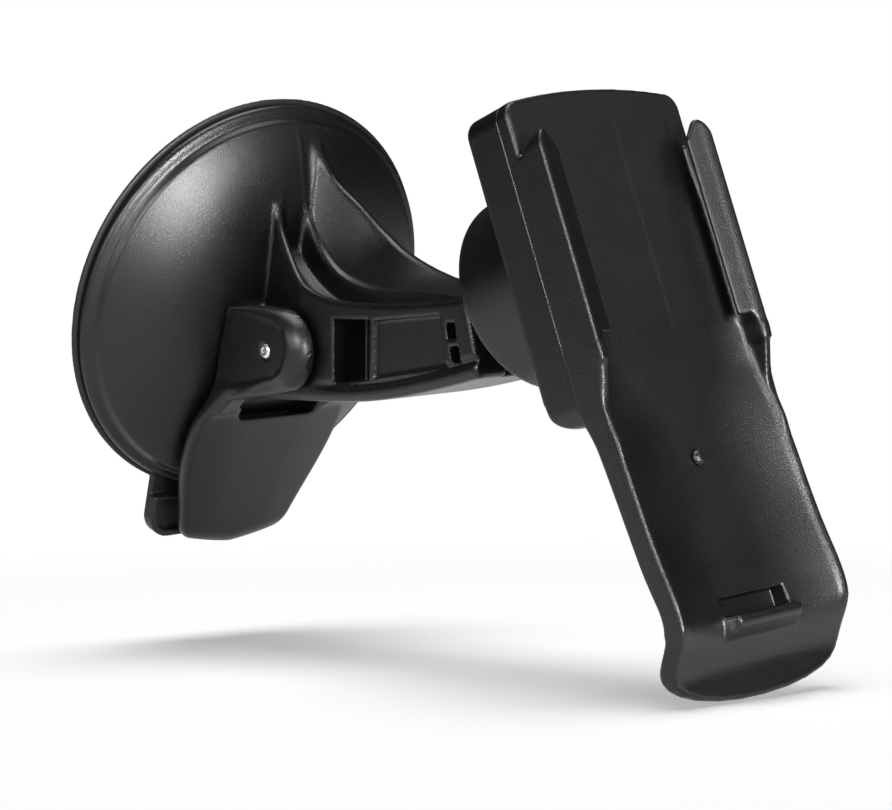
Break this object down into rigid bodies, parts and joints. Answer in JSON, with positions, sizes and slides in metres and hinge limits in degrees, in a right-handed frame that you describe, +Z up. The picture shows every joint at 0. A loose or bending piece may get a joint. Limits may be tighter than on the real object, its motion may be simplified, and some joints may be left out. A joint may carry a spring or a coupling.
{
  "type": "suction mount with handheld navigator cradle",
  "caption": "Windscreen suction cup mount with a cam lever, a fixed arm and a ball-jointed cradle that holds a handheld navigator between side rails and a bottom hook.",
  "frame": {"origin": "centre of the cup's lip plane, where it meets the glass", "axes": "+X from the glass along the cup's axis towards the arm and cradle, +Z up with the lever and pull tab hanging towards -Z, +Y along the pivot pin"},
  "size_m": [0.1535, 0.084, 0.1236],
  "materials": {
    "shell": "fine spark-grain satin black",
    "lever_plastic": "satin black",
    "cradle_plastic": "fine-grained satin black",
    "membrane": "soft smooth black",
    "pin_steel": "turned bright end",
    "steel": "zinc plated",
    "ball_steel": "ground",
    "acetal": "natural acetal"
  },
  "bodies": {
    "base": {"suction_membrane": "membrane", "base_dome": "shell", "ball_stud": "ball_steel", "stud_nut": "steel"},
    "draw": {"draw_plate": "steel", "draw_post": "steel"},
    "lever": {"cam_lever": "lever_plastic", "pivot_pin": "pin_steel", "thrust_washers": "acetal"},
    "tilt_ring": {"friction_ring": "acetal"},
    "swivel_cup": {"pressure_cup": "acetal"},
    "cradle": {"retaining_ring": "shell", "socket_housing": "shell", "backing_disc": "acetal", "wave_washer": "steel", "cradle_plate": "cradle_plastic", "socket_cover": "cradle_plastic", "plate_screws": "steel", "ring_screws": "steel", "locating_stud": "cradle_plastic"}
  },
  "joints": [
    {"name": "draw_slide", "type": "slide", "parent": "base", "child": "draw", "axis": [1, 0, 0], "range_m": [-0.00252, 0]},
    {"name": "lever_flip", "type": "hinge", "parent": "draw", "child": "lever", "pos_m": [0.0282, 0, 0], "axis": [0, -1, 0], "range_deg": [0, 80]},
    {"name": "ball_tilt", "type": "hinge", "parent": "base", "child": "tilt_ring", "pos_m": [0.0892, 0, 0.0357], "axis": [-0.0506, 0.9987, 0], "range_deg": [-12, 12]},
    {"name": "ball_swivel", "type": "hinge", "parent": "tilt_ring", "child": "swivel_cup", "pos_m": [0.0892, 0, 0.0357], "axis": [-0.6176, -0.0313, 0.7859], "range_deg": [-12, 12]},
    {"name": "ball_spin", "type": "hinge", "parent": "swivel_cup", "child": "cradle", "pos_m": [0.0892, 0, 0.0357], "axis": [0.7849, 0.0398, 0.6184], "continuous": true}
  ],
  "couplings": [
    {"joint": "draw_slide", "follows": "lever_flip", "m_per_rad": -0.0017905}
  ]
}
